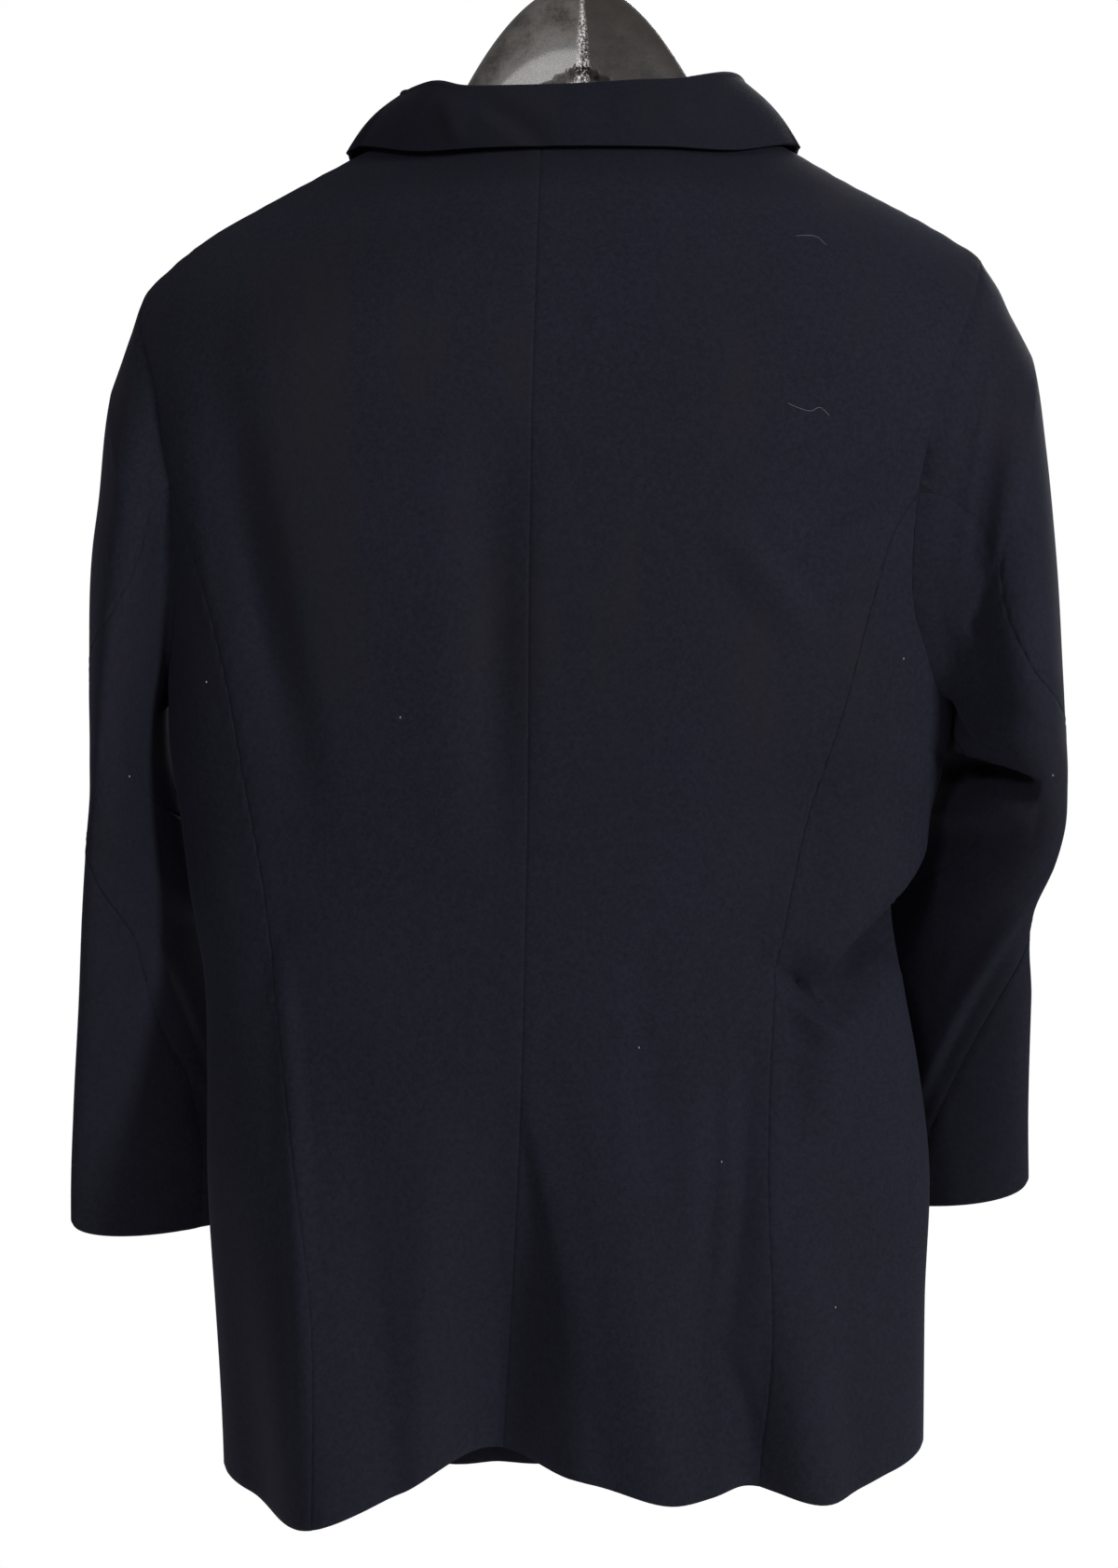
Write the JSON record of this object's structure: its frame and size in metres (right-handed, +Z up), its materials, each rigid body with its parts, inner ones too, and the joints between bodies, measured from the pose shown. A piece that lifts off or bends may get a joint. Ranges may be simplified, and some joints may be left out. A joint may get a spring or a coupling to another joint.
{
  "type": "suit jacket on a hanger",
  "caption": "Navy fine-wool women's suit jacket seen from the back, hung on a broad-necked dark plastic hanger with a steel hook.",
  "frame": {"origin": "the point inside the top of the hanger's hook where it bears on the rail that holds it up", "axes": "+Z up along the height, -Y out of the jacket's back, +Y out of its front, +X towards the wearer's right sleeve"},
  "size_m": [0.5354, 0.2017, 0.8731],
  "materials": {
    "navy_wool": "fine plain-woven wool, near-black navy, matt with a faint sheen",
    "dark_horn": "dark horn-look resin, softly polished",
    "hanger_plastic": "glossy black-brown moulded plastic",
    "hook_steel": "bright plated steel wire"
  },
  "bodies": {
    "root": {"back_left": "navy_wool", "back_right": "navy_wool", "side_left": "navy_wool", "side_right": "navy_wool", "front_left": "navy_wool", "front_right": "navy_wool", "top_sleeve_left": "navy_wool", "top_sleeve_right": "navy_wool", "under_sleeve_left": "navy_wool", "under_sleeve_right": "navy_wool", "collar_fall": "navy_wool", "collar_stand": "navy_wool", "lapel_left": "navy_wool", "lapel_right": "navy_wool", "button_upper": "dark_horn", "button_lower": "dark_horn", "hanger_body": "hanger_plastic", "hanger_hook": "hook_steel"}
  },
  "joints": []
}
